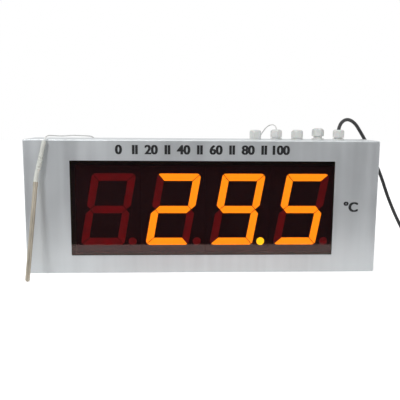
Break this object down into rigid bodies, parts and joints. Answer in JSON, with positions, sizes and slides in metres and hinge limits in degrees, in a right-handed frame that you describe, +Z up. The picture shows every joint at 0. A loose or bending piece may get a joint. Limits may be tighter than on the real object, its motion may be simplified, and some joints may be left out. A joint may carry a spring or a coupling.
{
  "type": "temperature controller",
  "caption": "Shallow steel case with a wide dark window, large seven-segment digits, cable glands on top, a mains cord and a steel probe on a thin lead.",
  "frame": {"origin": "middle of the case's underside, at mid-width and mid-depth of the case", "axes": "+X to the right as seen from the front, +Y to the back, +Z up"},
  "size_m": [0.7, 0.1408, 0.2176],
  "materials": {
    "case_steel": "satin, rolled sheet",
    "cover_steel": "satin, rolled sheet",
    "zinc_steel": "bright zinc",
    "filter_red": "polished tinted acrylic",
    "module_black": "matt moulded",
    "bar_dim": "diffusing resin, off",
    "bar_lit": "diffusing resin, lit",
    "board_green": "solder mask",
    "chip_black": "moulded epoxy",
    "tinned": "tinned",
    "core_steel": "varnished laminations",
    "winding_tape": "polyester tape",
    "relay_blue": "moulded",
    "terminal_green": "moulded",
    "can_black": "shrink sleeve",
    "sink_aluminium": "extruded",
    "ribbon_grey": "flat cable",
    "gland_white": "moulded nylon",
    "seal_rubber": "moulded",
    "cord_black": "satin sheath",
    "plug_black": "moulded",
    "pin_brass": "turned",
    "lead_grey": "thin sheath",
    "probe_steel": "drawn tube",
    "sleeve_white": "ribbed"
  },
  "bodies": {
    "case": {"front_case": "case_steel", "rear_cover": "cover_steel", "weld_studs": "zinc_steel", "stud_nuts": "zinc_steel", "filter_clips": "zinc_steel", "cover_screws": "zinc_steel", "clinch_nuts": "zinc_steel", "board_standoffs": "zinc_steel", "board_screws": "zinc_steel", "display_spacers": "zinc_steel", "window_filter": "filter_red", "digit_1_housing": "module_black", "digit_2_housing": "module_black", "digit_3_housing": "module_black", "digit_4_housing": "module_black", "digit_1_dim": "bar_dim", "digit_2_dim": "bar_dim", "digit_3_dim": "bar_dim", "digit_4_dim": "bar_dim", "digit_2_lit": "bar_lit", "digit_3_lit": "bar_lit", "digit_4_lit": "bar_lit", "display_board": "board_green", "control_board": "board_green", "display_pins": "tinned", "display_drivers": "chip_black", "controller_chip": "chip_black", "regulator": "chip_black", "ribbon_headers": "chip_black", "fuse_holder": "chip_black", "transformer_core": "core_steel", "transformer_winding": "winding_tape", "relays": "relay_blue", "terminal_blocks": "terminal_green", "terminal_screws": "tinned", "capacitors": "can_black", "heat_sink": "sink_aluminium", "ribbon_cable": "ribbon_grey", "gland_bodies": "gland_white", "gland_locknuts": "gland_white", "mains_tail": "cord_black", "sensor_tail": "lead_grey", "mains_cord": "cord_black", "mains_coil": "cord_black", "plug_body": "plug_black", "plug_pins": "pin_brass", "sensor_lead": "lead_grey", "probe_sheath": "probe_steel", "probe_sleeve": "sleeve_white"},
    "seal_1": {"gland_seal_1": "seal_rubber"},
    "cap_nut_1": {"gland_nut_1": "gland_white"},
    "seal_2": {"gland_seal_2": "seal_rubber"},
    "cap_nut_2": {"gland_nut_2": "gland_white"},
    "seal_3": {"gland_seal_3": "seal_rubber"},
    "cap_nut_3": {"gland_nut_3": "gland_white"},
    "seal_4": {"gland_seal_4": "seal_rubber"},
    "cap_nut_4": {"gland_nut_4": "gland_white"},
    "seal_5": {"gland_seal_5": "seal_rubber"},
    "cap_nut_5": {"gland_nut_5": "gland_white"}
  },
  "joints": [
    {"name": "seal_1_lift", "type": "slide", "parent": "case", "child": "seal_1", "axis": [0, 0, 1], "range_m": [0, 0.0045]},
    {"name": "nut_1_turn", "type": "hinge", "parent": "seal_1", "child": "cap_nut_1", "pos_m": [0.075, 0, 0.195], "axis": [0, 0, 1], "range_deg": [-0.1, 1080.1]},
    {"name": "seal_2_lift", "type": "slide", "parent": "case", "child": "seal_2", "axis": [0, 0, 1], "range_m": [-0.00075, 0.00375]},
    {"name": "nut_2_turn", "type": "hinge", "parent": "seal_2", "child": "cap_nut_2", "pos_m": [0.105, 0, 0.195], "axis": [0, 0, 1], "range_deg": [-180.1, 900.1]},
    {"name": "seal_3_lift", "type": "slide", "parent": "case", "child": "seal_3", "axis": [0, 0, 1], "range_m": [-0.00038, 0.00413]},
    {"name": "nut_3_turn", "type": "hinge", "parent": "seal_3", "child": "cap_nut_3", "pos_m": [0.135, 0, 0.195], "axis": [0, 0, 1], "range_deg": [-90.1, 990.1]},
    {"name": "seal_4_lift", "type": "slide", "parent": "case", "child": "seal_4", "axis": [0, 0, 1], "range_m": [-0.003, 0.0015]},
    {"name": "nut_4_turn", "type": "hinge", "parent": "seal_4", "child": "cap_nut_4", "pos_m": [0.165, 0, 0.195], "axis": [0, 0, 1], "range_deg": [-720.1, 360.1]},
    {"name": "seal_5_lift", "type": "slide", "parent": "case", "child": "seal_5", "axis": [0, 0, 1], "range_m": [-0.00112, 0.00337]},
    {"name": "nut_5_turn", "type": "hinge", "parent": "seal_5", "child": "cap_nut_5", "pos_m": [0.195, 0, 0.195], "axis": [0, 0, 1], "range_deg": [-270.1, 810.1]}
  ],
  "couplings": [
    {"joint": "nut_1_turn", "follows": "seal_1_lift", "rad_per_m": 4188.8},
    {"joint": "nut_2_turn", "follows": "seal_2_lift", "rad_per_m": 4188.8},
    {"joint": "nut_3_turn", "follows": "seal_3_lift", "rad_per_m": 4188.8},
    {"joint": "nut_4_turn", "follows": "seal_4_lift", "rad_per_m": 4188.8},
    {"joint": "nut_5_turn", "follows": "seal_5_lift", "rad_per_m": 4188.8}
  ]
}
